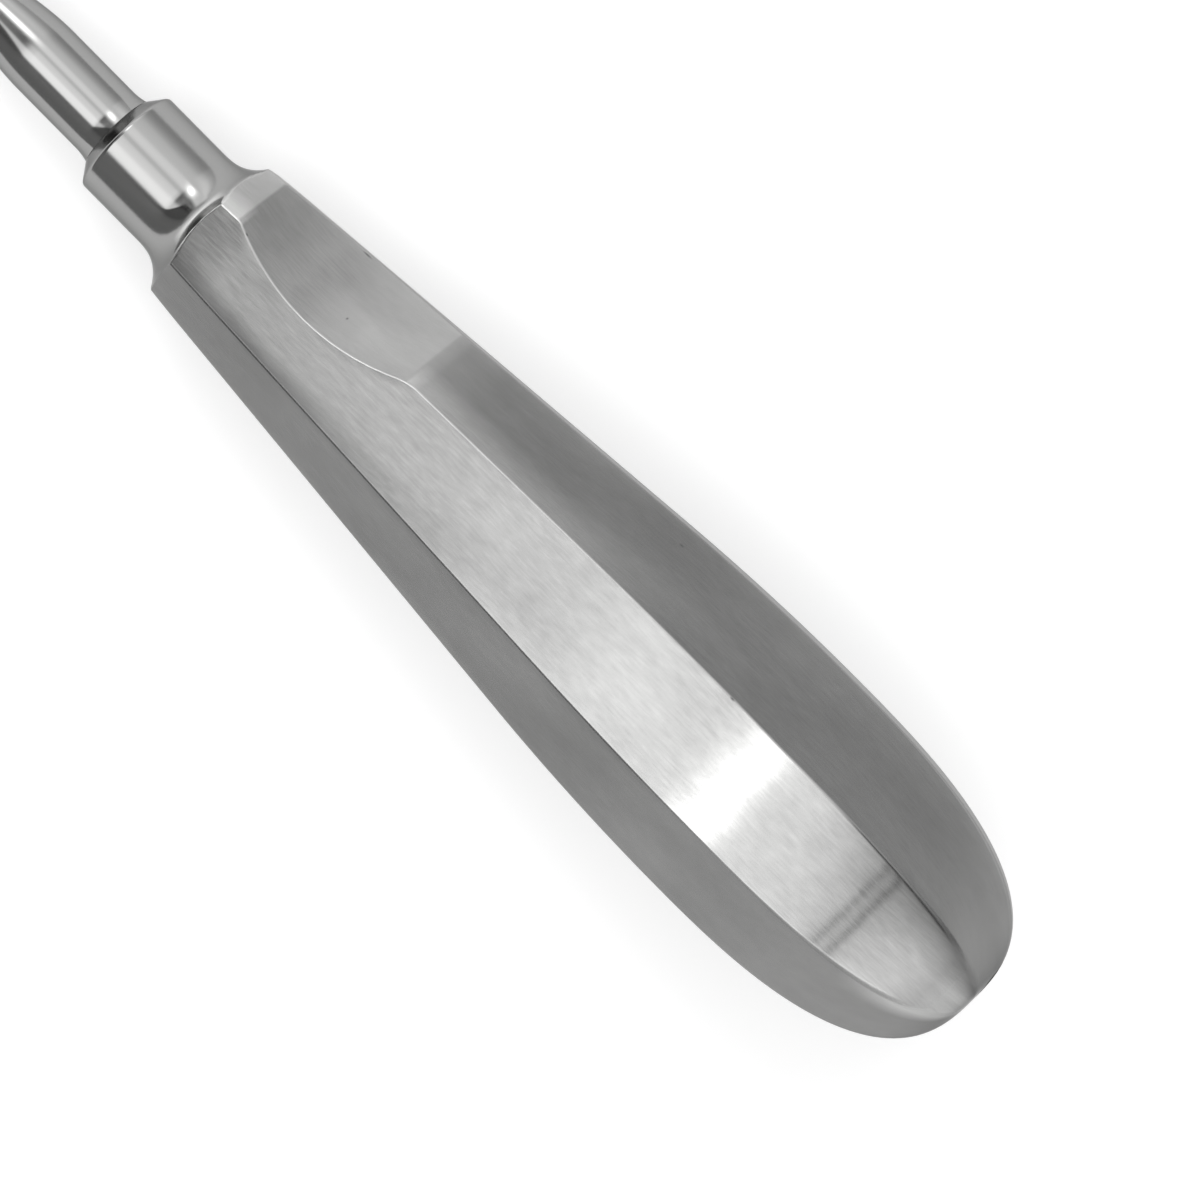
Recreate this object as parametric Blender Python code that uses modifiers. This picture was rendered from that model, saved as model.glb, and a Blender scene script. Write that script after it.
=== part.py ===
"""A root elevator, a dental extraction instrument of polished stainless steel, as one solid.

A turned blank gives the gouge end, the neck, the shank, the collar and the cove behind it. The
handle is what that blank has in common with a sleeve of eight ground facets, which swell to a belly
and close in a rounded butt. A thumb rest is ground into one upper facet by a wheel, and a rod
hollows the working end into a gouge. The instrument lies on its bottom facet. Metres, +Z up, +X
towards the working end, with the origin under the middle of its box.

Everything is modelled upright, butt down, along local Z. The axis empty then lays it down.
"""

import math

import bmesh
import bpy
from mathutils import Matrix, Vector

MM = 0.001
NAME = "root_elevator"

# Handle, from the butt upwards
BELLY_HEIGHT = 25.0 * MM
SWELL_LENGTH = 18.8 * MM
HANDLE_LENGTH = 88.4 * MM
BELLY_ACROSS_FLATS = 22.97 * MM
FRONT_ACROSS_FLATS = 13.78 * MM
SIDE_BUTT_ROUNDNESS = 2.75
SLANT_BUTT_ROUNDNESS = 2.45
BROAD_BUTT_ROUNDNESS = 2.2
RIDGE_RADIUS = 0.35 * MM
BUTT_RIDGE_RADIUS = 1.2 * MM
THUMB_FACET_SUNK = 0.34 * MM
THUMB_FACET_BELLY_SUNK = 0.66 * MM
OUTER_FACET_PROUD = 0.83 * MM

# Cove and collar
COVE_LENGTH = 4.25 * MM
COLLAR_LENGTH = 6.2 * MM
COLLAR_DIAMETER = 10.06 * MM
COLLAR_EDGE_RADIUS = 0.4 * MM
CHAMFER_LENGTH = 1.1 * MM
CHAMFER_DEPTH = 1.45 * MM

# Shank, neck and working end
FLARE_LENGTH = 1.5 * MM
FLARE_HEIGHT = 0.22 * MM
SHANK_LENGTH = 7.0 * MM
SHANK_DIAMETER = 6.62 * MM
TAPER_LENGTH = 12.0 * MM
NECK_LENGTH = 17.7 * MM
NECK_DIAMETER = 4.0 * MM
BLADE_LENGTH = 14.0 * MM
BLADE_WIDTH = 3.2 * MM
NOSE_LENGTH = 5.0 * MM

# Gouge hollow in the working end
GOUGE_LENGTH = 13.5 * MM
GOUGE_RADIUS = 2.0 * MM
GOUGE_WALL = 0.6 * MM

# Thumb rest across one upper facet
THUMB_REST_FROM_FRONT = 2.0 * MM
THUMB_REST_LENGTH = 19.2 * MM
THUMB_REST_DEPTH = 1.55 * MM

# Heights of the shoulders, each from the one below it
COVE_TOP = HANDLE_LENGTH + COVE_LENGTH
COLLAR_TOP = COVE_TOP + COLLAR_LENGTH
CHAMFER_TOP = COLLAR_TOP + CHAMFER_LENGTH
FLARE_TOP = CHAMFER_TOP + FLARE_LENGTH
SHANK_TOP = FLARE_TOP + SHANK_LENGTH
TAPER_TOP = SHANK_TOP + TAPER_LENGTH
NECK_TOP = TAPER_TOP + NECK_LENGTH
TIP = NECK_TOP + BLADE_LENGTH

# Facets
FACETS = 8
FACET_STEP = 2 * math.pi / FACETS
TOP_ANGLE = math.pi
THUMB_REST_FACET = 5
OUTER_FACET = 3
THUMB_REST_ANGLE = THUMB_REST_FACET * FACET_STEP
CORNER_FACTOR = 1 / math.cos(FACET_STEP / 2)
FRONT_CORNER = FRONT_ACROSS_FLATS / 2 * CORNER_FACTOR
BELLY_CORNER = BELLY_ACROSS_FLATS / 2 * CORNER_FACTOR
STRAIGHT_START = BELLY_HEIGHT + SWELL_LENGTH
FACET_SLOPE = (BELLY_ACROSS_FLATS - FRONT_ACROSS_FLATS) / 2 / (
    HANDLE_LENGTH - BELLY_HEIGHT - SWELL_LENGTH / 2)
LAID_ANGLE = math.atan(FACET_SLOPE)

# Fineness of the solid
TURNED_STEPS = 96
RIDGE_STEPS = 4
BUTT_STEPS = 22
SWELL_STEPS = 8
COVE_STEPS = 9
TAPER_STEPS = 8
NOSE_STEPS = 8
EDGE_STEPS = 3
WHEEL_STEPS = 240
ROD_STEPS = 48
WELD = 0.005 * MM

STEEL_COLOUR = (0.62, 0.62, 0.61, 1.0)
STEEL_ROUGHNESS = 0.28


def clear_scene():
    for item in list(bpy.data.objects):
        bpy.data.objects.remove(item, do_unlink=True)
    for group in list(bpy.data.collections):
        bpy.data.collections.remove(group)


def new_collection(name):
    group = bpy.data.collections.new(name)
    bpy.context.scene.collection.children.link(group)
    return group


def add_object(name, mesh, group, axis):
    item = bpy.data.objects.new(name, mesh)
    group.objects.link(item)
    item.parent = axis
    return item


def add_cutter(name, mesh, group, axis):
    item = add_object(name, mesh, group, axis)
    item.hide_render = True
    item.display_type = "WIRE"
    return item


def steel_material():
    material = bpy.data.materials.new("stainless_steel")
    material.use_nodes = True
    shader = material.node_tree.nodes["Principled BSDF"]
    shader.inputs["Base Color"].default_value = STEEL_COLOUR
    shader.inputs["Metallic"].default_value = 1.0
    shader.inputs["Roughness"].default_value = STEEL_ROUGHNESS
    return material


def direction(angle):
    return Vector((math.cos(angle), math.sin(angle), 0))


def superellipse(share, roundness):
    """Height of a superellipse of unit half axes above the given share of its length."""
    return (1 - share ** roundness) ** (1 / roundness)


def facet_distance(height, roundness):
    """Distance from the axis to a facet: a rounded butt, a belly, then a straight taper."""
    belly = BELLY_ACROSS_FLATS / 2
    past_belly = height - BELLY_HEIGHT
    if past_belly < 0:
        return belly * superellipse(-past_belly / BELLY_HEIGHT, roundness)
    if past_belly < SWELL_LENGTH:
        return belly - FACET_SLOPE * past_belly ** 2 / (2 * SWELL_LENGTH)
    return belly - FACET_SLOPE * (past_belly - SWELL_LENGTH / 2)


def butt_share(height):
    """1 at the end of the butt, falling to 0 at the belly and above it."""
    return max(0, 1 - height / BELLY_HEIGHT)


def facet_distances(height):
    """Distances to the eight facets in turn: bottom and top broad, two sides, four slanting.

    The two slanting facets beside the top one are ground unevenly. The one with the thumb rest is
    sunk, most at the belly, and the outer one across from it stands proud.
    """
    broad = facet_distance(height, BROAD_BUTT_ROUNDNESS)
    slant = facet_distance(height, SLANT_BUTT_ROUNDNESS)
    side = facet_distance(height, SIDE_BUTT_ROUNDNESS)
    distances = [broad, slant, side, slant] * 2
    uneven = 1 - butt_share(height) ** 2.5
    towards_front = min(1, max(0, (height - BELLY_HEIGHT) / (HANDLE_LENGTH - BELLY_HEIGHT)))
    belly_share = (1 - towards_front) ** 2
    sunk = THUMB_FACET_SUNK + (THUMB_FACET_BELLY_SUNK - THUMB_FACET_SUNK) * belly_share
    distances[THUMB_REST_FACET] = broad - sunk * uneven
    distances[OUTER_FACET] = slant + OUTER_FACET_PROUD * uneven
    return distances


def ridge_radius(height):
    """The ridges are nearly sharp along the handle and soften towards the end of the butt."""
    return RIDGE_RADIUS + (BUTT_RIDGE_RADIUS - RIDGE_RADIUS) * butt_share(height) ** 1.5


def ridge_centre(first, second, angle):
    """Point at the first distance along angle and at the second along the next facet's angle."""
    across = (second - first * math.cos(FACET_STEP)) / math.sin(FACET_STEP)
    return direction(angle) * first + direction(angle + math.pi / 2) * across


def section(height, distances):
    """Points of an octagon with rounded corners, whose facets lie at the given distances."""
    rounding = min(ridge_radius(height), min(distances) / 3)
    points = []
    for facet in range(FACETS):
        angle = facet * FACET_STEP
        following = distances[(facet + 1) % FACETS]
        centre = ridge_centre(distances[facet] - rounding, following - rounding, angle)
        for step in range(RIDGE_STEPS + 1):
            turn = angle + FACET_STEP * step / RIDGE_STEPS
            points.append(centre + direction(turn) * rounding + Vector((0, 0, height)))
    return points


def sleeve_heights():
    """Heights of the handle's sections: close together in the butt and swell, then one long run."""
    butt = [BELLY_HEIGHT * (1 - math.cos(math.pi / 2 * step / BUTT_STEPS))
            for step in range(1, BUTT_STEPS + 1)]
    start = BELLY_HEIGHT * (1 - math.cos(math.pi / 8 / BUTT_STEPS))
    swell = [BELLY_HEIGHT + SWELL_LENGTH * step / SWELL_STEPS for step in range(1, SWELL_STEPS + 1)]
    return [start] + butt + swell


def facet_sleeve():
    """A loft of octagons up the handle, widened above the cove so that it leaves the shank alone."""
    rings = [section(height, facet_distances(height)) for height in sleeve_heights()]
    end = HANDLE_LENGTH + COVE_LENGTH / 3
    rings.append(section(end, facet_distances(end)))
    clear_of_blank = [BELLY_CORNER] * FACETS
    rings.append(section(HANDLE_LENGTH + COVE_LENGTH / 2, clear_of_blank))
    rings.append(section(TIP + BELLY_CORNER, clear_of_blank))
    shape = bmesh.new()
    loops = [[shape.verts.new(point) for point in ring] for ring in rings]
    for lower, upper in zip(loops, loops[1:]):
        for index in range(len(lower)):
            after = (index + 1) % len(lower)
            shape.faces.new((lower[index], lower[after], upper[after], upper[index]))
    shape.faces.new(reversed(loops[0]))
    shape.faces.new(loops[-1])
    return finished_mesh("facet_sleeve", shape)


def finished_mesh(name, shape):
    mesh = bpy.data.meshes.new(name)
    shape.to_mesh(mesh)
    shape.free()
    return mesh


def nose_points():
    """The rounded point, a quarter ellipse from the tip out to the blade's half width."""
    turns = [math.pi / 2 * step / NOSE_STEPS for step in range(NOSE_STEPS + 1)]
    return [(BLADE_WIDTH / 2 * math.sin(turn), TIP - NOSE_LENGTH * (1 - math.cos(turn)))
            for turn in turns]


def taper_points():
    """The smooth shoulder between the neck and the shank."""
    points = []
    for step in range(TAPER_STEPS + 1):
        share = step / TAPER_STEPS
        eased = share * share * (3 - 2 * share)
        radius = (NECK_DIAMETER + (SHANK_DIAMETER - NECK_DIAMETER) * eased) / 2
        points.append((radius, TAPER_TOP - TAPER_LENGTH * share))
    return points


def flare_points():
    """The shank widens a little into the crease at the collar's front."""
    shares = [step / EDGE_STEPS for step in range(EDGE_STEPS + 1)]
    return [(SHANK_DIAMETER / 2 + FLARE_HEIGHT * share ** 2, FLARE_TOP - FLARE_LENGTH * share)
            for share in shares]


def collar_edge_points():
    """The chamfer's lower end, rounded over into the collar's side."""
    lean = math.atan2(CHAMFER_DEPTH, CHAMFER_LENGTH)
    rounding = min(COLLAR_EDGE_RADIUS, COLLAR_LENGTH / 4)
    centre = (COLLAR_DIAMETER / 2 - rounding, COLLAR_TOP - rounding * math.tan(lean / 2))
    points = []
    for step in range(EDGE_STEPS + 1):
        turn = lean * (1 - step / EDGE_STEPS)
        points.append((centre[0] + rounding * math.cos(turn), centre[1] + rounding * math.sin(turn)))
    return points


def cove_points():
    """The cove steepens as the cube of the distance, and runs on past the facets' corners."""
    rise = FRONT_CORNER - COLLAR_DIAMETER / 2
    reach = 1.25
    points = []
    for step in range(COVE_STEPS + 1):
        share = reach * step / COVE_STEPS
        points.append((COLLAR_DIAMETER / 2 + rise * share ** 3, COVE_TOP - COVE_LENGTH * share))
    return points


def blank_profile():
    """(radius, height) points of the turned blank, from the tip down its outer side."""
    crease = (COLLAR_DIAMETER / 2 - CHAMFER_DEPTH, CHAMFER_TOP)
    cove = cove_points()
    outside = BELLY_CORNER * 1.2
    below = -BELLY_CORNER
    bar = [(outside, cove[-1][1] - COVE_LENGTH / 4), (outside, below), (0, below)]
    return (nose_points() + taper_points() + flare_points() + [crease] + collar_edge_points()
            + cove + bar)


def turned_blank():
    """The profile as a string of edges, which the Screw modifier turns."""
    mesh = bpy.data.meshes.new("turned_blank")
    points = [(radius, 0, height) for radius, height in blank_profile()]
    edges = [(index, index + 1) for index in range(len(points) - 1)]
    mesh.from_pydata(points, edges, [])
    return mesh


def turn_profile(item):
    screw = item.modifiers.new("turning", "SCREW")
    screw.axis = "Z"
    screw.steps = TURNED_STEPS
    screw.render_steps = TURNED_STEPS
    screw.use_merge_vertices = True
    screw.merge_threshold = WELD
    screw.use_smooth_shade = False


def cylinder_mesh(name, radius, length, steps, matrix):
    """A cylinder along local Z, about the middle, set in place by the matrix."""
    shape = bmesh.new()
    bmesh.ops.create_cone(shape, cap_ends=True, segments=steps, radius1=radius, radius2=radius,
                          depth=length, matrix=matrix)
    return finished_mesh(name, shape)


def along(axis_direction, centre):
    """Matrix that turns Z to the axis direction and moves the origin to the centre."""
    turn = Vector((0, 0, 1)).rotation_difference(axis_direction)
    return Matrix.Translation(centre) @ turn.to_matrix().to_4x4()


def thumb_rest_wheel():
    """The grinding wheel: its rim sinks into the facet to the rest's depth, over its length."""
    radius = (THUMB_REST_LENGTH ** 2 / 4 + THUMB_REST_DEPTH ** 2) / (2 * THUMB_REST_DEPTH)
    middle = HANDLE_LENGTH - THUMB_REST_FROM_FRONT - THUMB_REST_LENGTH / 2
    out = direction(THUMB_REST_ANGLE)
    surface = out * facet_distances(middle)[THUMB_REST_FACET] + Vector((0, 0, middle))
    normal = (out + Vector((0, 0, FACET_SLOPE))).normalized()
    centre = surface + normal * (radius - THUMB_REST_DEPTH)
    across = direction(THUMB_REST_ANGLE + math.pi / 2)
    return cylinder_mesh("thumb_rest_wheel", radius, 2 * BELLY_ACROSS_FLATS, WHEEL_STEPS,
                         along(across, centre))


def gouge_rod():
    """The rod leans so that it leaves a thin wall at the tip and runs out on the top side."""
    blade_radius = BLADE_WIDTH / 2
    top = direction(TOP_ANGLE)
    sunk = blade_radius - GOUGE_WALL
    lean = math.atan2(blade_radius + sunk, GOUGE_LENGTH)
    run = (Vector((0, 0, math.cos(lean))) - top * math.sin(lean)).normalized()
    square = (top * math.cos(lean) + Vector((0, 0, math.sin(lean)))).normalized()
    floor_at_tip = Vector((0, 0, TIP)) - top * sunk
    centre = floor_at_tip + square * GOUGE_RADIUS
    return cylinder_mesh("gouge_rod", GOUGE_RADIUS, 4 * GOUGE_LENGTH, ROD_STEPS, along(run, centre))


def add_boolean(item, cutter, operation):
    cut = item.modifiers.new(cutter.name, "BOOLEAN")
    cut.operation = operation
    cut.object = cutter
    cut.solver = "EXACT"


def lay_down(axis, item):
    """Turns the instrument on to its bottom facet, with the origin under the middle of its box."""
    axis.rotation_euler = (0, math.pi / 2 + LAID_ANGLE, 0)
    bpy.context.view_layer.update()
    shown = item.evaluated_get(bpy.context.evaluated_depsgraph_get())
    corners = [shown.matrix_world @ vertex.co for vertex in shown.data.vertices]
    low = [min(corner[side] for corner in corners) for side in range(3)]
    high = [max(corner[side] for corner in corners) for side in range(3)]
    axis.location = (-(low[0] + high[0]) / 2, -(low[1] + high[1]) / 2, -low[2])


def build():
    clear_scene()
    parts = new_collection(NAME + "_parts")
    cutters = new_collection(NAME + "_cutters")
    axis = bpy.data.objects.new(NAME + "_axis", None)
    parts.objects.link(axis)
    elevator = add_object(NAME, turned_blank(), parts, axis)
    elevator.data.materials.append(steel_material())
    turn_profile(elevator)
    sleeve = add_cutter("facet_sleeve", facet_sleeve(), cutters, axis)
    wheel = add_cutter("thumb_rest_wheel", thumb_rest_wheel(), cutters, axis)
    rod = add_cutter("gouge_rod", gouge_rod(), cutters, axis)
    add_boolean(elevator, sleeve, "INTERSECT")
    add_boolean(elevator, wheel, "DIFFERENCE")
    add_boolean(elevator, rod, "DIFFERENCE")
    lay_down(axis, elevator)


build()
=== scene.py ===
"""The looks of the root elevator: a satin ground handle, and a polished collar, shank and tip.

One piece replaces the faceted solid with the same form at a finer grain. It is modelled upright,
butt down along local Z, and laid down on its bottom facet as the solid is.
"""

import math

import bmesh
import bpy
from mathutils import Matrix, Vector


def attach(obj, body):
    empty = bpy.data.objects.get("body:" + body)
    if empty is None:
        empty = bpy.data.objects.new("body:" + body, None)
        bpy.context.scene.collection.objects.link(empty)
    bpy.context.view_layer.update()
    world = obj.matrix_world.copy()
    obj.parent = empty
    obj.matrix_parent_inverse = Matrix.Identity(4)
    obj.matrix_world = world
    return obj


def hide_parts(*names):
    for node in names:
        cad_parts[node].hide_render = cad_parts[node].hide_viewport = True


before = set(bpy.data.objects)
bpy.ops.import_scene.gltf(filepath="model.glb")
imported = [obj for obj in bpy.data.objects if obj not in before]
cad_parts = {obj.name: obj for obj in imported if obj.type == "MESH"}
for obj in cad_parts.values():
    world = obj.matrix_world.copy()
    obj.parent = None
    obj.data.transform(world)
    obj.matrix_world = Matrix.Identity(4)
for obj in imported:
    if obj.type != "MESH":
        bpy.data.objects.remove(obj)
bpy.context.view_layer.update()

MM = 0.001
NODE = "root_elevator"

# Sizes of the solid
BELLY_HEIGHT = 25.0 * MM
SWELL_LENGTH = 18.8 * MM
HANDLE_LENGTH = 88.4 * MM
BELLY_ACROSS_FLATS = 22.97 * MM
FRONT_ACROSS_FLATS = 13.78 * MM
SIDE_BUTT_ROUNDNESS = 2.75
SLANT_BUTT_ROUNDNESS = 2.45
BROAD_BUTT_ROUNDNESS = 2.2
RIDGE_RADIUS = 0.35 * MM
BUTT_RIDGE_RADIUS = 1.2 * MM
BUTT_RIDGE_FADE = 1.5
THUMB_FACET_SUNK = 0.34 * MM
THUMB_FACET_BELLY_SUNK = 0.66 * MM
OUTER_FACET_PROUD = 0.83 * MM
UNEVEN_FADE = 2.5
COVE_LENGTH = 4.25 * MM
COLLAR_LENGTH = 6.2 * MM
COLLAR_DIAMETER = 10.06 * MM
COLLAR_EDGE_RADIUS = 0.4 * MM
CHAMFER_LENGTH = 1.1 * MM
CHAMFER_DEPTH = 1.45 * MM
FLARE_LENGTH = 1.5 * MM
FLARE_HEIGHT = 0.22 * MM
SHANK_LENGTH = 7.0 * MM
SHANK_DIAMETER = 6.62 * MM
TAPER_LENGTH = 12.0 * MM
NECK_LENGTH = 17.7 * MM
NECK_DIAMETER = 4.0 * MM
BLADE_LENGTH = 14.0 * MM
BLADE_WIDTH = 3.2 * MM
NOSE_LENGTH = 5.0 * MM
GOUGE_LENGTH = 13.5 * MM
GOUGE_RADIUS = 2.0 * MM
GOUGE_WALL = 0.6 * MM
THUMB_REST_FROM_FRONT = 2.0 * MM
THUMB_REST_LENGTH = 19.2 * MM
THUMB_REST_DEPTH = 1.55 * MM

COVE_TOP = HANDLE_LENGTH + COVE_LENGTH
COLLAR_TOP = COVE_TOP + COLLAR_LENGTH
CHAMFER_TOP = COLLAR_TOP + CHAMFER_LENGTH
FLARE_TOP = CHAMFER_TOP + FLARE_LENGTH
SHANK_TOP = FLARE_TOP + SHANK_LENGTH
TAPER_TOP = SHANK_TOP + TAPER_LENGTH
NECK_TOP = TAPER_TOP + NECK_LENGTH
TIP = NECK_TOP + BLADE_LENGTH
NOSE_START = TIP - NOSE_LENGTH
THUMB_REST_FRONT = HANDLE_LENGTH - THUMB_REST_FROM_FRONT
THUMB_REST_MIDDLE = THUMB_REST_FRONT - THUMB_REST_LENGTH / 2
THUMB_REST_REAR = THUMB_REST_FRONT - THUMB_REST_LENGTH
FACETS = 8
FACET_STEP = 2 * math.pi / FACETS
TOP_ANGLE = math.pi
OUTER_FACET = 3
TOP_FACET = 4
THUMB_REST_FACET = 5
FRONT_CORNER = FRONT_ACROSS_FLATS / 2 / math.cos(FACET_STEP / 2)
FACET_SLOPE = (BELLY_ACROSS_FLATS - FRONT_ACROSS_FLATS) / 2 / (
    HANDLE_LENGTH - BELLY_HEIGHT - SWELL_LENGTH / 2)
LAID_ANGLE = math.atan(FACET_SLOPE)

# Fineness of the mesh, and the small roundings that hand polishing leaves
RIDGE_STEPS = 8
FLAT_STEPS = 10
BUTT_STEPS = 48
BUTT_END_SHARES = (0.08, 0.25, 0.55)
NOSE_STEPS = 24
ROD_STEPS = 180
FINE_RINGS_FROM = 66.0 * MM
CREASE_BELOW = 0.4 * MM
CREASE_ABOVE = 0.6 * MM
COLLAR_EDGE_BELOW = 0.5 * MM
# Spans of rings above the belly: where each ends, and its rings
RING_SPANS = (
    (BELLY_HEIGHT + SWELL_LENGTH, 28), (FINE_RINGS_FROM, 16), (HANDLE_LENGTH - CREASE_BELOW, 90),
    (HANDLE_LENGTH + CREASE_ABOVE, 34), (COVE_TOP, 26), (COLLAR_TOP - COLLAR_EDGE_BELOW, 10),
    (CHAMFER_TOP, 24), (FLARE_TOP, 12), (SHANK_TOP, 8), (TAPER_TOP, 28), (NOSE_START, 24))
CREASE_BLEND = 0.09 * MM
REST_BLEND = 0.06 * MM
REAR_BLEND = 0.40 * MM
FRONT_ROLL_LENGTH = 4.0 * MM
FRONT_ROLL_DROP = 0.05 * MM
SMOOTH_UP_TO = math.radians(32)

# Camera, as the photograph's frame shows it: 98 mm across at the instrument
CAMERA_DISTANCE = 0.650
CAMERA_ROLL_OVER = math.radians(3)
FRAME_WIDTH = 0.09796
SENSOR = 36.0
LOOK_AT = Vector((-0.03102, -0.00124, 0.0105))
IMAGE_TURN = math.radians(44.90)

# How much light each finish gives back; on the slant facets, set darker than on the broad ones,
# this is partly grind and partly painted shade
SLANT_SATIN_AND_SHADE = 0.225
OUTER_SATIN_AND_SHADE = 0.25
BROAD_SATIN = 0.355
REST_SATIN_AND_HIGHLIGHT = 0.37
GRAZING = 0.48
MIRROR = 0.31

# A brighter grind in the thumb rest's hollow, and painted highlight: it comes in with the hollow's
# depth, fades towards the front, and as painted highlight is strongest on the strip ahead of the
# hollow and weaker behind it, on the next facet too
REST_EDGE_DEPTH = 0.1 * MM
REST_FADE = 6.5 * MM
REST_FRONT_SHARE = 0.12
STRIP_RISE = 0.4 * MM
STRIP_HIGHLIGHT_SHARE = 1.4
BEHIND_FROM = THUMB_REST_REAR - 5.5 * MM
BEHIND_TO = THUMB_REST_REAR + 0.5 * MM
BEHIND_HIGHLIGHT_SHARE = 0.5
BEHIND_NEXT_HIGHLIGHT_SHARE = 0.25

# Painted shade (a negative change) and painted highlight (a positive one) beside ridges: facet,
# side, change, how many of the facet's steps it reaches, and the heights in mm at which it is none
# and full
RIDGE_PAINTED_LIGHT = (
    (THUMB_REST_FACET, "start", 0.19, 4, 38, 57),
    (TOP_FACET, "start", -0.19, 3, 50, 75),
    (TOP_FACET, "end", -0.20, 5, 20, 8),
    (OUTER_FACET, "end", 0.20, 3, 9, 4))
UNPAINTED_RIDGE = (0.0, 1)

# A painted highlight lifts the cove's steep end on its top: shares of the cove, and angles round it
COVE_PAINTED_HIGHLIGHT = 1.4
STEEP_FROM = 0.68
STEEP_TO = 0.74
LIFT_MIDDLE = math.radians(3)
LIFT_REACH = math.radians(28)

# Grain: spacing of the facets in it, and how strongly the ground lines show
GRAIN_SPACING = 9.3 * MM
FAINT_LINES = 0.42
FRONT_LINES_LOSS = 0.4
FRONT_LINES_FROM = 65 * MM
FRONT_LINES_TO = 72 * MM

# Noise in the grain: features per metre across it and along it, and detail
FINE_NOISE = (5000, 450, 3)
BROAD_NOISE = (900, 60, 3)
MOTTLE_NOISE = (1300, 600, 2)
CLOUD_NOISE = (160, 60, 2)

# What the noise does to the colour, the roughness and the lean of the surface
LINE_CONTRAST = 0.30
MOTTLE_CONTRAST = 0.28
CLOUD_CONTRAST = 0.5
SATIN_ROUGHNESS = 0.12
SATIN_ROUGHNESS_SPREAD = 0.10
MIRROR_ROUGHNESS = 0.07
MIRROR_ROUGHNESS_SPREAD = 0.06
ANISOTROPY = 0.97
BLUE_SHARE = 0.99
BROAD_LINE_HEIGHT = 0.8
BUMP_STRENGTH = 0.25
BUMP_DISTANCE = 0.00002
BROAD_LEAN = 0.010
CLOUD_LEAN = 0.006

# Nicks: facet, place across it and height, half sizes the same way, all in mm, and darkness
NICKS = (
    (4, 5.72, 85.3, 0.13, 0.16, 0.75),
    (4, 4.15, 77.1, 0.10, 0.60, 0.45),
    (5, -1.95, 74.8, 0.22, 0.12, 0.40),
    (5, 4.85, 78.0, 0.12, 0.55, 0.50),
    (4, 3.84, 30.4, 0.16, 0.30, 0.50),
    (5, 2.90, 42.5, 0.14, 0.30, 0.30))
NICK_STEEPNESS = 1.6
DARKEST_NICK = 0.05

# Floor
FLOOR_SIZE = 3.0
FLOOR_COLOUR = 0.66
FLOOR_LIFT = 0.42
FLOOR_ROUGHNESS = 0.9

# The studio that the steel reflects. Each table has stops in degrees, with a brightness or a share.
# Across is 0 overhead and positive towards -Y. Lengthwise is positive towards the working end.
ACROSS = (-180, 180)
LENGTHWISE = (-90, 90)
LIT_SIDE = (
    (-47, 0.62), (-13, 0.61), (-9, 0.44), (5, 0.42), (8, 0.29), (13, 0.29), (17, 0.43),
    (43, 0.36), (53, 0.35), (63, 0.27), (72, 0.20), (81, 0.16), (89, 0.16))
DARK_SIDE = (
    (-103, 0.20), (-97, 0.15), (-92, 0.07), (-67, 0.075), (-45, 0.085), (-41, 0.055), (-27, 0.06))
DARK_SIDE_REAR = 0.2
DARK_SIDE_SHARE = ((3, 0.0), (7, 1.0))
LIT_BORDER = ((-34.5, 0.0), (-33.5, 1.0))
BORDER_SHIFT = 34.0
BORDER_SHIFT_SHARE = ((16, 0.0), (42, 1.0))
OVERHEAD = (
    (-80, 0.28), (-50, 0.28), (-41, 0.27), (-36, 0.25), (-31.5, 0.23), (-30.6, 0.19),
    (-30.2, 0.05), (-29.1, 0.05), (-28.7, 0.19), (-26.1, 0.22), (-25.6, 0.08), (-24.5, 0.08),
    (-23.8, 0.24), (-20, 0.28), (-12, 0.35), (-4, 0.38), (1.3, 0.41), (1.7, 0.85),
    (4.3, 0.85), (4.8, 0.34), (6.6, 0.36), (8, 0.39), (12, 0.40), (13.2, 0.35), (14.5, 0.34),
    (16, 0.29), (17, 0.215), (18, 0.13), (20, 0.06), (30, 0.10))
OVERHEAD_SHARE = ((-60, 0.0), (-36, 0.4), (-14, 0.4), (-9, 1.0), (8, 1.0), (20, 0.0))
SIDEWAYS = (
    (-60, 0.22), (-40, 0.28), (-30, 0.34), (-16, 0.355), (0, 0.37), (6, 0.35), (9, 0.31),
    (12.5, 0.33), (16, 0.41), (30, 0.49), (48, 0.52))
SIDEWAYS_SHARE = ((42, 0.0), (62, 1.0))
PLAIN_LEVEL = 0.35
SHADE_LENGTHWISE = ((-16, 1.0), (-8, 0.0))
SHADE_ACROSS = ((13, 0.0), (23, 1.0), (48, 1.0), (55, 0.0))
SHADE_DEPTH = 0.88
LAMP_PLACE = (25.0, 27.0)
LAMP_HALF_SIZE = (9.0, 16.0)
LAMP_GLOW_LIMITS = (0, 4)
LAMP_GLOW = ((0, 0.9), (0.2, 0.75), (0.5, 0.3), (1, 0.1), (2.2, 0.0))
BUTT_WALL = 0.29
BUTT_WALL_SHARE = ((-78, 1.0), (-55, 0.0))
TIP_WALL = ((77, 0.18), (88, 0.38))
TIP_WALL_SHARE = ((70, 0.0), (77, 1.0))
STUDIO_STRENGTH = 4.0


def between(value, none, full):
    """0 at one value, 1 at the other, evenly in between and level beyond."""
    return min(1, max(0, (value - none) / (full - none)))


def smooth_min(first, second, width):
    """The lesser of two lengths, blended where they differ by less than the width."""
    share = between(second - first, -width, width)
    return second + (first - second) * share - width * share * (1 - share)


def direction(angle):
    return Vector((math.cos(angle), math.sin(angle), 0))


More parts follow.
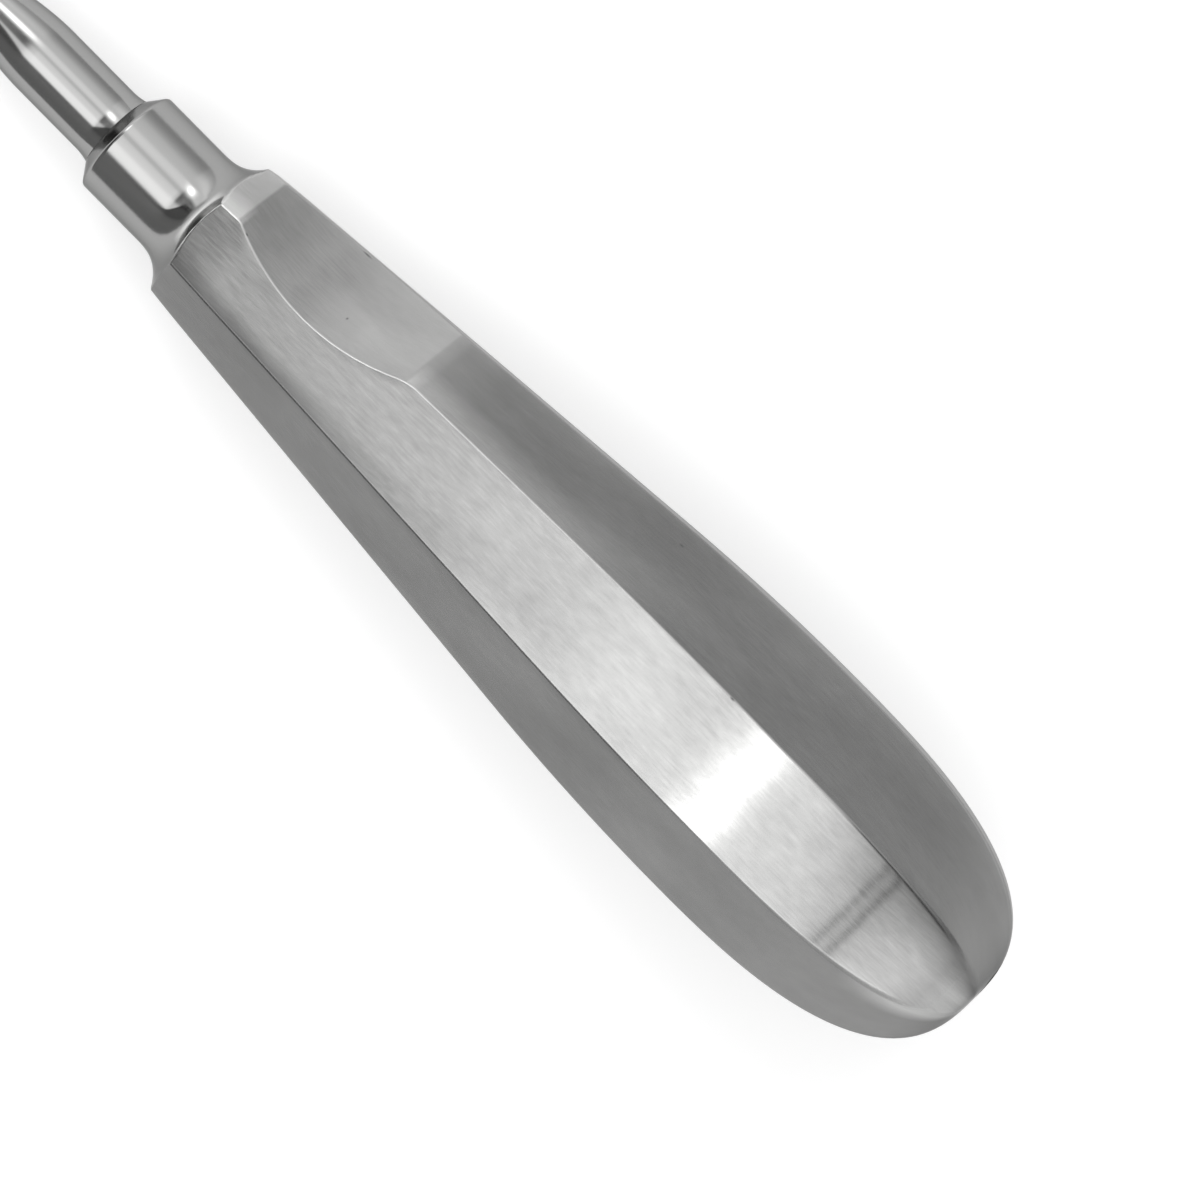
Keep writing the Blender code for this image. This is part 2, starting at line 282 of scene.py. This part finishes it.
def facet_distance(height, roundness):
    """Distance from the axis to a facet: a rounded butt, a belly, then a straight taper."""
    belly = BELLY_ACROSS_FLATS / 2
    past_belly = height - BELLY_HEIGHT
    if past_belly < 0:
        share = -past_belly / BELLY_HEIGHT
        return belly * (1 - share ** roundness) ** (1 / roundness)
    if past_belly < SWELL_LENGTH:
        return belly - FACET_SLOPE * past_belly ** 2 / (2 * SWELL_LENGTH)
    return belly - FACET_SLOPE * (past_belly - SWELL_LENGTH / 2)


def butt_share(height):
    """1 at the end of the butt, falling to 0 at the belly and above it."""
    return between(height, BELLY_HEIGHT, 0)


def plain_distances(height):
    """Distances to the eight facets in turn, before the thumb rest is ground.

    A slight roll at the handle's front leaves the last of each facet leaning to the tip.
    """
    broad = facet_distance(height, BROAD_BUTT_ROUNDNESS)
    slant = facet_distance(height, SLANT_BUTT_ROUNDNESS)
    side = facet_distance(height, SIDE_BUTT_ROUNDNESS)
    distances = [broad, slant, side, slant] * 2
    uneven = 1 - butt_share(height) ** UNEVEN_FADE
    belly_share = (1 - between(height, BELLY_HEIGHT, HANDLE_LENGTH)) ** 2
    sunk = THUMB_FACET_SUNK + (THUMB_FACET_BELLY_SUNK - THUMB_FACET_SUNK) * belly_share
    distances[THUMB_REST_FACET] = broad - sunk * uneven
    distances[OUTER_FACET] = slant + OUTER_FACET_PROUD * uneven
    rolled = max(0, height - HANDLE_LENGTH + FRONT_ROLL_LENGTH) / FRONT_ROLL_LENGTH
    return [distance - FRONT_ROLL_DROP * rolled ** 2 for distance in distances]


def thumb_rest_distance(height):
    """Distance from the axis to the hollow that the grinding wheel leaves."""
    radius = (THUMB_REST_LENGTH ** 2 / 4 + THUMB_REST_DEPTH ** 2) / (2 * THUMB_REST_DEPTH)
    lift = (radius - THUMB_REST_DEPTH) * math.cos(LAID_ANGLE)
    centre_out = plain_distances(THUMB_REST_MIDDLE)[THUMB_REST_FACET] + lift
    centre_height = THUMB_REST_MIDDLE + (radius - THUMB_REST_DEPTH) * math.sin(LAID_ANGLE)
    off_centre = height - centre_height
    if abs(off_centre) >= radius:
        return centre_out
    return centre_out - math.sqrt(radius ** 2 - off_centre ** 2)


def facet_distances(height):
    """Distances to the facets with the thumb rest's hollow taken out of its own."""
    distances = plain_distances(height)
    plain = distances[THUMB_REST_FACET]
    towards_rear = between(height, THUMB_REST_MIDDLE, THUMB_REST_REAR)
    blend = REST_BLEND + (REAR_BLEND - REST_BLEND) * towards_rear
    distances[THUMB_REST_FACET] = smooth_min(plain, thumb_rest_distance(height), blend)
    return distances


def ridge_centre(first, second, angle):
    """Where lines at two distances meet, one square to the angle and one a facet further."""
    across = (second - first * math.cos(FACET_STEP)) / math.sin(FACET_STEP)
    return direction(angle) * first + direction(angle + math.pi / 2) * across


def octagon(height):
    """Points of the rounded octagon at a height, with each facet's flat run divided too."""
    distances = facet_distances(height)
    softened = (BUTT_RIDGE_RADIUS - RIDGE_RADIUS) * butt_share(height) ** BUTT_RIDGE_FADE
    rounding = min(RIDGE_RADIUS + softened, min(distances) / 3)
    arcs = []
    for facet in range(FACETS):
        angle = facet * FACET_STEP
        following = distances[(facet + 1) % FACETS]
        centre = ridge_centre(distances[facet] - rounding, following - rounding, angle)
        turns = [angle + FACET_STEP * step / RIDGE_STEPS for step in range(RIDGE_STEPS + 1)]
        arcs.append([centre + direction(turn) * rounding for turn in turns])
    points = []
    for facet in range(FACETS):
        arc = arcs[facet]
        start = arc[-1]
        run = arcs[(facet + 1) % FACETS][0] - start
        points += arc
        points += [start + run * step / FLAT_STEPS for step in range(1, FLAT_STEPS)]
    return points


def facet_finishes_and_painted_light(height, hollow):
    """How much light each facet gives back, with the thumb rest's brighter grind where it is
    hollow, painted highlight on the strips ahead of and behind it, and painted shade in the slant
    facets' darker values.
    """
    # the slant facets' darker values are partly grind and partly painted shade
    facets = [BROAD_SATIN, SLANT_SATIN_AND_SHADE] * (FACETS // 2)
    facets[OUTER_FACET] = OUTER_SATIN_AND_SHADE
    # painted highlight on the strip ahead of the hollow, behind it and on the next facet
    in_front = between(height, THUMB_REST_FRONT, THUMB_REST_FRONT + STRIP_RISE)
    behind = between(height, BEHIND_FROM, BEHIND_TO)
    fade = between(height, THUMB_REST_FRONT, THUMB_REST_FRONT - REST_FADE)
    ground = hollow * (REST_FRONT_SHARE + (1 - REST_FRONT_SHARE) * fade)
    brighter = REST_SATIN_AND_HIGHLIGHT - SLANT_SATIN_AND_SHADE
    facets[THUMB_REST_FACET] += brighter * max(
        ground, STRIP_HIGHLIGHT_SHARE * in_front, BEHIND_HIGHLIGHT_SHARE * behind)
    facets[THUMB_REST_FACET + 1] += brighter * max(in_front, BEHIND_NEXT_HIGHLIGHT_SHARE * behind)
    return facets


def finish_and_painted_light_round(height):
    """How much light the steel gives back at each point of the octagon, with painted shade and
    painted highlight in it.
    """
    depth = plain_distances(height)[THUMB_REST_FACET] - thumb_rest_distance(height)
    hollow = between(depth, 0, REST_EDGE_DEPTH)
    facets = facet_finishes_and_painted_light(height, hollow)
    # painted shade and painted highlight beside ridges, graded by height
    ridge_painted_light = {}
    for facet, side, change, reach, none, full in RIDGE_PAINTED_LIGHT:
        change *= between(height, none * MM, full * MM)
        if facet == THUMB_REST_FACET:
            change *= 1 - hollow
        ridge_painted_light[facet, side] = (change, reach)
    values = []
    for facet in range(FACETS):
        following = (facet + 1) % FACETS
        own_end = ridge_painted_light.get((facet, "end"), UNPAINTED_RIDGE)
        next_start = ridge_painted_light.get((following, "start"), UNPAINTED_RIDGE)
        next_end = ridge_painted_light.get((following, "end"), UNPAINTED_RIDGE)
        before = facets[facet] + own_end[0]
        rise = facets[following] + next_start[0] - before
        values += [before + rise * step / RIDGE_STEPS for step in range(RIDGE_STEPS + 1)]
        for step in range(1, FLAT_STEPS):
            value = facets[following]
            for (change, reach), steps_in in ((next_start, step), (next_end, FLAT_STEPS - step)):
                value += change * max(0, 1 - steps_in / reach)
            values.append(value)
    return values


def collar_edge_radius(height):
    """Radius of the collar's chamfer and the rounding below it."""
    lean = math.atan2(CHAMFER_DEPTH, CHAMFER_LENGTH)
    rounding = COLLAR_EDGE_RADIUS
    centre_radius = COLLAR_DIAMETER / 2 - rounding
    centre_height = COLLAR_TOP - rounding * math.tan(lean / 2)
    above = height - centre_height
    if above <= rounding * math.sin(lean):
        return centre_radius + math.sqrt(max(0, rounding ** 2 - max(0, above) ** 2))
    crease = COLLAR_DIAMETER / 2 - CHAMFER_DEPTH
    return crease + (CHAMFER_TOP - height) * CHAMFER_DEPTH / CHAMFER_LENGTH


def turned_radius(height):
    """Radius of the turned blank, from inside the handle's front up to the tip."""
    collar = COLLAR_DIAMETER / 2
    shank = SHANK_DIAMETER / 2
    if height < COVE_TOP:
        return collar + (FRONT_CORNER - collar) * ((COVE_TOP - height) / COVE_LENGTH) ** 3
    if height < CHAMFER_TOP:
        return min(collar, collar_edge_radius(height))
    if height < FLARE_TOP:
        return shank + FLARE_HEIGHT * ((FLARE_TOP - height) / FLARE_LENGTH) ** 2
    if height < SHANK_TOP:
        return shank
    neck = NECK_DIAMETER / 2
    if height < TAPER_TOP:
        share = (TAPER_TOP - height) / TAPER_LENGTH
        return neck + (shank - neck) * share * share * (3 - 2 * share)
    blade = BLADE_WIDTH / 2
    if height < NOSE_START:
        return neck + (blade - neck) * (height - TAPER_TOP) / (NOSE_START - TAPER_TOP)
    return blade * math.sqrt(max(0, 1 - ((height - NOSE_START) / NOSE_LENGTH) ** 2))


def ring_heights():
    """Heights of the mesh's rings, closest where the form turns quickly."""
    quarter = math.pi / 2
    heights = [BELLY_HEIGHT * (1 - math.cos(quarter * share / BUTT_STEPS))
               for share in (*BUTT_END_SHARES, *range(1, BUTT_STEPS))]
    low = BELLY_HEIGHT
    for high, steps in RING_SPANS:
        heights += [low + (high - low) * step / steps for step in range(steps)]
        low = high
    heights += [TIP - NOSE_LENGTH * (1 - math.sin(quarter * step / NOSE_STEPS))
                for step in range(NOSE_STEPS + 1)]
    return heights


def trimmed(point, height):
    """The octagon's point, drawn in to the turned blank if that is smaller, and whether it is."""
    reach = point.length
    blank = turned_radius(height) if height > HANDLE_LENGTH - COVE_LENGTH / 2 else 2 * reach
    kept = blank
    if height < HANDLE_LENGTH + COVE_LENGTH / 2:
        kept = smooth_min(reach, blank, CREASE_BLEND)
    turned = 1.0 if blank < reach else 0.0
    placed = point * (kept / reach)
    return Vector((placed.x, placed.y, height)), turned


def mirror_brightness_and_highlight(point, height):
    """How much light turned steel gives back, with a painted highlight in the steep end of the
    cove, on its top.
    """
    steep = between((COVE_TOP - height) / COVE_LENGTH, STEEP_FROM, STEEP_TO)
    aside = (math.atan2(-point.y, -point.x) - LIFT_MIDDLE) / LIFT_REACH
    return MIRROR * (1 + COVE_PAINTED_HIGHLIGHT * steep * max(0, 1 - aside ** 2))


def lines_round(height):
    """How strongly the ground lines show: less to the front, and faintly on the side facets."""
    full = 1 - FRONT_LINES_LOSS * between(height, FRONT_LINES_FROM, FRONT_LINES_TO)
    half = RIDGE_STEPS // 2 + 1
    values = []
    for facet in range(FACETS):
        own = full if facet % (FACETS // 2) == 0 else FAINT_LINES
        after = full if (facet + 1) % (FACETS // 2) == 0 else FAINT_LINES
        values += [own] * half + [after] * (RIDGE_STEPS - half + FLAT_STEPS)
    return values


def grain_round(points):
    """Place across the ground lines of each point: along its own facet, facets side by side."""
    half = RIDGE_STEPS // 2 + 1
    values = []
    for facet in range(FACETS):
        for own in [facet] * half + [facet + 1] * (RIDGE_STEPS - half + FLAT_STEPS):
            across = points[len(values)].dot(direction(own * FACET_STEP + math.pi / 2))
            values.append(across + own * GRAIN_SPACING)
    return values


def body_mesh():
    """A loft of the trimmed sections, with each point's polish, finish with painted shade and
    highlight, and place in the grain.
    """
    shape = bmesh.new()
    polish = []
    finish_and_painted_light = []
    grain = []
    lines = []
    loops = []
    for height in ring_heights():
        loop = []
        points = octagon(min(height, HANDLE_LENGTH + COVE_LENGTH / 3))
        for across in grain_round(points):
            grain += [across, height, 0]
        lines += lines_round(height)
        for point, satin in zip(points, finish_and_painted_light_round(height)):
            place, turned = trimmed(point, height)
            loop.append(shape.verts.new(place))
            polish.append(turned)
            finish_and_painted_light.append(mirror_brightness_and_highlight(point, height) if turned else satin)
        loops.append(loop)
    for lower, upper in zip(loops, loops[1:]):
        for index in range(len(lower)):
            after = (index + 1) % len(lower)
            shape.faces.new((lower[index], lower[after], upper[after], upper[index]))
    shape.faces.new(reversed(loops[0]))
    shape.faces.new(loops[-1])
    mesh = bpy.data.meshes.new("elevator_body")
    shape.to_mesh(mesh)
    shape.free()
    for name, values in (("polish", polish), ("finish_and_painted_light", finish_and_painted_light), ("lines", lines)):
        layer = mesh.attributes.new(name, "FLOAT", "POINT")
        layer.data.foreach_set("value", values)
    layer = mesh.attributes.new("grain", "FLOAT_VECTOR", "POINT")
    layer.data.foreach_set("vector", grain)
    return mesh


def gouge_rod():
    """The rod that hollows the working end, as a fine cylinder."""
    blade_radius = BLADE_WIDTH / 2
    top = direction(TOP_ANGLE)
    sunk = blade_radius - GOUGE_WALL
    lean = math.atan2(blade_radius + sunk, GOUGE_LENGTH)
    run = (Vector((0, 0, math.cos(lean))) - top * math.sin(lean)).normalized()
    square = (top * math.cos(lean) + Vector((0, 0, math.sin(lean)))).normalized()
    centre = Vector((0, 0, TIP)) - top * sunk + square * GOUGE_RADIUS
    turn = Vector((0, 0, 1)).rotation_difference(run).to_matrix().to_4x4()
    shape = bmesh.new()
    bmesh.ops.create_cone(shape, cap_ends=True, segments=ROD_STEPS, radius1=GOUGE_RADIUS,
                          radius2=GOUGE_RADIUS, depth=4 * GOUGE_LENGTH,
                          matrix=Matrix.Translation(centre) @ turn)
    mesh = bpy.data.meshes.new("gouge_rod")
    shape.to_mesh(mesh)
    shape.free()
    rod = bpy.data.objects.new("gouge_rod", mesh)
    bpy.context.scene.collection.objects.link(rod)
    return rod


def hollow_gouge(item):
    """Cuts the gouge out of the tip and keeps the result as the piece's own mesh."""
    rod = gouge_rod()
    cut = item.modifiers.new("gouge", "BOOLEAN")
    cut.operation = "DIFFERENCE"
    cut.object = rod
    cut.solver = "EXACT"
    shown = item.evaluated_get(bpy.context.evaluated_depsgraph_get())
    mesh = bpy.data.meshes.new_from_object(shown)
    item.modifiers.clear()
    item.data = mesh
    bpy.data.objects.remove(rod)


def lay_down(item):
    """Turns the mesh on to its bottom facet, under the middle of its box, as the solid lies."""
    item.data.transform(Matrix.Rotation(math.pi / 2 + LAID_ANGLE, 4, "Y"))
    places = [vertex.co for vertex in item.data.vertices]
    low = [min(place[side] for place in places) for side in range(3)]
    high = [max(place[side] for place in places) for side in range(3)]
    shift = Vector((-(low[0] + high[0]) / 2, -(low[1] + high[1]) / 2, -low[2]))
    item.data.transform(Matrix.Translation(shift))


def node(tree, kind, **values):
    made = tree.nodes.new(kind)
    for name, value in values.items():
        setattr(made, name, value)
    return made


def feed(tree, socket, value):
    """Gives a socket a number or another node's output."""
    if isinstance(value, (int, float)):
        socket.default_value = value
    else:
        tree.links.new(value, socket)


def calculate(tree, operation, *inputs):
    """A Math node whose inputs are numbers or sockets, and its output."""
    made = node(tree, "ShaderNodeMath", operation=operation)
    for socket, value in zip(made.inputs, inputs):
        feed(tree, socket, value)
    return made.outputs[0]


def product(tree, first, second):
    return calculate(tree, "MULTIPLY", first, second)


def added(tree, first, second):
    return calculate(tree, "ADD", first, second)


def less(tree, first, second):
    return calculate(tree, "SUBTRACT", first, second)


def ramp(tree, value, limits, stops):
    """A colour ramp over the limits, of grey values at the stops, in the value's own units."""
    low, high = limits
    made = node(tree, "ShaderNodeValToRGB")
    share = calculate(tree, "DIVIDE", less(tree, value, low), high - low)
    tree.links.new(share, made.inputs[0])
    elements = made.color_ramp.elements
    while len(elements) > 1:
        elements.remove(elements[-1])
    for index, (place, grey) in enumerate(stops):
        position = (place - low) / (high - low)
        element = elements[0] if index == 0 else elements.new(position)
        element.position = position
        element.color = (grey, grey, grey, 1)
    return made.outputs[0]


def mix_floats(tree, share, first, second):
    made = node(tree, "ShaderNodeMix")
    for name, value in (("Factor", share), ("A", first), ("B", second)):
        feed(tree, made.inputs[name], value)
    return made.outputs["Result"]


def attribute(tree, name, output):
    return node(tree, "ShaderNodeAttribute", attribute_name=name).outputs[output]


def streak_noise(tree, coordinates, noise_sizes):
    """Noise drawn out along the grain: features per metre across it and along it, and detail."""
    across, lengthwise, detail = noise_sizes
    stretched = node(tree, "ShaderNodeMapping")
    stretched.inputs["Scale"].default_value = (across, lengthwise, 1)
    tree.links.new(coordinates, stretched.inputs["Vector"])
    noise = node(tree, "ShaderNodeTexNoise")
    noise.inputs["Scale"].default_value = 1.0
    noise.inputs["Detail"].default_value = detail
    tree.links.new(stretched.outputs[0], noise.inputs["Vector"])
    return noise.outputs["Fac"]


def swing(tree, noise, strength):
    """The noise taken as a change to either side of nothing."""
    return product(tree, less(tree, noise, 0.5), strength)


def nick_marks(tree, coordinates):
    """1 on plain steel, darker where a nick is."""
    marks = None
    for facet, across, height, half_across, half_height, darkness in NICKS:
        centre = (facet * GRAIN_SPACING + across * MM, height * MM)
        halves = (half_across * MM, half_height * MM)
        scaled = node(tree, "ShaderNodeVectorMath", operation="MULTIPLY_ADD")
        scaled.inputs[1].default_value = (1 / halves[0], 1 / halves[1], 0)
        scaled.inputs[2].default_value = (-centre[0] / halves[0], -centre[1] / halves[1], 0)
        tree.links.new(coordinates, scaled.inputs[0])
        away = node(tree, "ShaderNodeVectorMath", operation="LENGTH")
        tree.links.new(scaled.outputs[0], away.inputs[0])
        faded = calculate(tree, "MAXIMUM", less(tree, 1.0, away.outputs["Value"]), 0.0)
        mark = less(tree, 1.0, product(tree, faded, darkness * NICK_STEEPNESS))
        marks = mark if marks is None else product(tree, marks, mark)
    return calculate(tree, "MAXIMUM", marks, DARKEST_NICK)


def steel_colour(tree, grey):
    """The grey as a colour, a trace warmer than neutral."""
    colour = node(tree, "ShaderNodeCombineColor")
    tree.links.new(grey, colour.inputs["Red"])
    tree.links.new(grey, colour.inputs["Green"])
    tree.links.new(product(tree, grey, BLUE_SHARE), colour.inputs["Blue"])
    return colour.outputs[0]


def steel_normal(tree, heights, lean):
    """The surface's normal: bumped by the heights and leaning along the laid handle."""
    bump = node(tree, "ShaderNodeBump")
    bump.inputs["Strength"].default_value = BUMP_STRENGTH
    bump.inputs["Distance"].default_value = BUMP_DISTANCE
    tree.links.new(heights, bump.inputs["Height"])
    tilted = node(tree, "ShaderNodeVectorMath", operation="MULTIPLY_ADD")
    tilted.inputs[0].default_value = (math.cos(LAID_ANGLE), 0, -math.sin(LAID_ANGLE))
    tree.links.new(lean, tilted.inputs[1])
    tree.links.new(bump.outputs[0], tilted.inputs[2])
    unit = node(tree, "ShaderNodeVectorMath", operation="NORMALIZE")
    tree.links.new(tilted.outputs[0], unit.inputs[0])
    return unit.outputs[0]


def steel_material():
    """Stainless steel, satin with lengthwise lines where ground and bright where turned."""
    material = bpy.data.materials.new("stainless_steel")
    material.use_nodes = True
    tree = material.node_tree
    shader = tree.nodes["Principled BSDF"]
    shader.inputs["Metallic"].default_value = 1.0
    shader.inputs["Anisotropic"].default_value = ANISOTROPY
    shader.inputs["Specular Tint"].default_value = (GRAZING, GRAZING, GRAZING, 1)
    tangent = node(tree, "ShaderNodeTangent", direction_type="RADIAL", axis="X")
    tree.links.new(tangent.outputs[0], shader.inputs["Tangent"])
    coordinates = attribute(tree, "grain", "Vector")
    polish = attribute(tree, "polish", "Fac")
    finish_and_painted_light = attribute(tree, "finish_and_painted_light", "Fac")
    lines = attribute(tree, "lines", "Fac")
    fine = streak_noise(tree, coordinates, FINE_NOISE)
    broad = streak_noise(tree, coordinates, BROAD_NOISE)
    mottle = streak_noise(tree, coordinates, MOTTLE_NOISE)
    cloud = streak_noise(tree, coordinates, CLOUD_NOISE)

    satin = added(tree, SATIN_ROUGHNESS, product(tree, fine, SATIN_ROUGHNESS_SPREAD))
    mirror = added(tree, MIRROR_ROUGHNESS, product(tree, broad, MIRROR_ROUGHNESS_SPREAD))
    tree.links.new(mix_floats(tree, polish, satin, mirror), shader.inputs["Roughness"])

    streaks = added(tree, swing(tree, fine, LINE_CONTRAST), swing(tree, mottle, MOTTLE_CONTRAST))
    streaks = product(tree, streaks, lines)
    uneven = added(tree, added(tree, streaks, swing(tree, cloud, CLOUD_CONTRAST)), 1.0)
    uneven = product(tree, uneven, nick_marks(tree, coordinates))
    # the finish attribute brings painted shade and painted highlights into the base colour
    grey = product(tree, finish_and_painted_light, mix_floats(tree, polish, uneven, 1.0))
    tree.links.new(steel_colour(tree, grey), shader.inputs["Base Color"])

    matt = product(tree, less(tree, 1.0, polish), lines)
    heights = added(tree, fine, product(tree, broad, BROAD_LINE_HEIGHT))
    lean = added(tree, swing(tree, broad, BROAD_LEAN), swing(tree, cloud, CLOUD_LEAN))
    normal = steel_normal(tree, product(tree, heights, matt), product(tree, lean, matt))
    tree.links.new(normal, shader.inputs["Normal"])
    return material


def build_elevator():
    item = bpy.data.objects.new("elevator_body", body_mesh())
    bpy.context.scene.collection.objects.link(item)
    item.data.materials.append(steel_material())
    hollow_gouge(item)
    item.data.shade_smooth()
    item.data.set_sharp_from_angle(angle=SMOOTH_UP_TO)
    lay_down(item)
    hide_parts(NODE)
    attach(item, "root")


def build_floor():
    """A pale floor that shows white to the camera and in the steel, and keeps the shadow."""
    bpy.ops.mesh.primitive_plane_add(size=FLOOR_SIZE, location=(0, 0, 0))
    floor = bpy.context.object
    floor.name = "studio_floor"
    material = bpy.data.materials.new("studio_floor")
    material.use_nodes = True
    tree = material.node_tree
    shader = tree.nodes["Principled BSDF"]
    shader.inputs["Base Color"].default_value = (FLOOR_COLOUR, FLOOR_COLOUR, FLOOR_COLOUR, 1)
    shader.inputs["Roughness"].default_value = FLOOR_ROUGHNESS
    shader.inputs["Specular IOR Level"].default_value = 0.0
    path = node(tree, "ShaderNodeLightPath")
    seen = calculate(tree, "MAXIMUM", path.outputs["Is Camera Ray"], path.outputs["Is Glossy Ray"])
    seen = calculate(tree, "MAXIMUM", seen, path.outputs["Is Transmission Ray"])
    shader.inputs["Emission Color"].default_value = (1, 1, 1, 1)
    tree.links.new(product(tree, seen, FLOOR_LIFT), shader.inputs["Emission Strength"])
    floor.data.materials.append(material)


def studio_angles(tree):
    """Angles of a direction across the instrument's axis and along it, in degrees."""
    turned = node(tree, "ShaderNodeMapping")
    turned.inputs["Rotation"].default_value = (0, -LAID_ANGLE, 0)
    tree.links.new(node(tree, "ShaderNodeTexCoord").outputs["Generated"], turned.inputs[0])
    place = node(tree, "ShaderNodeSeparateXYZ")
    tree.links.new(turned.outputs[0], place.inputs[0])
    x, y, z = place.outputs
    in_degrees = 180 / math.pi
    across = calculate(tree, "ARCTAN2", product(tree, y, -1.0), z)
    return (product(tree, across, in_degrees),
            product(tree, calculate(tree, "ARCSINE", x), in_degrees))


def studio_walls(tree, across, lengthwise):
    """The lit side and the dark one, whose border moves over towards the tip."""
    lit = ramp(tree, across, ACROSS, LIT_SIDE)
    dark = ramp(tree, across, ACROSS, DARK_SIDE)
    shift = product(tree, ramp(tree, lengthwise, LENGTHWISE, BORDER_SHIFT_SHARE), BORDER_SHIFT)
    lit_share = ramp(tree, less(tree, across, shift), ACROSS, LIT_BORDER)
    dark_share = ramp(tree, lengthwise, LENGTHWISE, DARK_SIDE_SHARE)
    dark = mix_floats(tree, dark_share, DARK_SIDE_REAR, dark)
    return mix_floats(tree, lit_share, dark, lit)


def change_from_plain(tree, level, share):
    """The factor that takes the plain level to another, as far as the share says."""
    change = less(tree, calculate(tree, "DIVIDE", level, PLAIN_LEVEL), 1.0)
    return added(tree, product(tree, change, share), 1.0)


def studio_lamp(tree, across, lengthwise):
    """A soft oval lamp, by the square of the way out from its middle."""
    squares = []
    for angle, place, half in zip((across, lengthwise), LAMP_PLACE, LAMP_HALF_SIZE):
        share = calculate(tree, "DIVIDE", less(tree, angle, place), half)
        squares.append(product(tree, share, share))
    return ramp(tree, added(tree, *squares), LAMP_GLOW_LIMITS, LAMP_GLOW)


def build_world():
    """The studio as the instrument sees it, by angle across its axis and along it."""
    world = bpy.data.worlds.new("studio")
    bpy.context.scene.world = world
    world.use_nodes = True
    tree = world.node_tree
    background = tree.nodes["Background"]
    across, lengthwise = studio_angles(tree)
    radiance = studio_walls(tree, across, lengthwise)
    overhead = ramp(tree, lengthwise, LENGTHWISE, OVERHEAD)
    overhead_share = ramp(tree, across, ACROSS, OVERHEAD_SHARE)
    radiance = product(tree, radiance, change_from_plain(tree, overhead, overhead_share))
    sideways = ramp(tree, lengthwise, LENGTHWISE, SIDEWAYS)
    sideways_share = ramp(tree, across, ACROSS, SIDEWAYS_SHARE)
    radiance = product(tree, radiance, change_from_plain(tree, sideways, sideways_share))
    shade = product(tree, ramp(tree, lengthwise, LENGTHWISE, SHADE_LENGTHWISE),
                    ramp(tree, across, ACROSS, SHADE_ACROSS))
    radiance = product(tree, radiance, less(tree, 1.0, product(tree, shade, SHADE_DEPTH)))
    radiance = added(tree, radiance, studio_lamp(tree, across, lengthwise))
    butt_wall_share = ramp(tree, lengthwise, LENGTHWISE, BUTT_WALL_SHARE)
    radiance = mix_floats(tree, butt_wall_share, radiance, BUTT_WALL)
    tip_wall_share = ramp(tree, lengthwise, LENGTHWISE, TIP_WALL_SHARE)
    tip_wall = ramp(tree, lengthwise, LENGTHWISE, TIP_WALL)
    radiance = mix_floats(tree, tip_wall_share, radiance, tip_wall)
    tree.links.new(product(tree, radiance, STUDIO_STRENGTH), background.inputs["Strength"])
    background.inputs["Color"].default_value = (1, 1, 1, 1)


def build_camera():
    """Looks down on the instrument from the thumb rest's side, with the tip to the upper left."""
    data = bpy.data.cameras.new("camera")
    camera = bpy.data.objects.new("camera", data)
    bpy.context.scene.collection.objects.link(camera)
    data.sensor_width = SENSOR
    data.lens = SENSOR * CAMERA_DISTANCE / FRAME_WIDTH
    data.clip_start = 0.01
    data.clip_end = 20
    back = Vector((0, -math.sin(CAMERA_ROLL_OVER), math.cos(CAMERA_ROLL_OVER)))
    tip_side = Vector((1, 0, 0))
    other_side = back.cross(tip_side)
    right = -math.sin(IMAGE_TURN) * tip_side - math.cos(IMAGE_TURN) * other_side
    up = back.cross(right)
    turn = Matrix((right, up, back)).transposed().to_4x4()
    camera.matrix_world = Matrix.Translation(LOOK_AT + back * CAMERA_DISTANCE) @ turn
    bpy.context.scene.camera = camera


build_elevator()
build_floor()
build_world()
build_camera()
bpy.context.scene.view_settings.view_transform = "Standard"
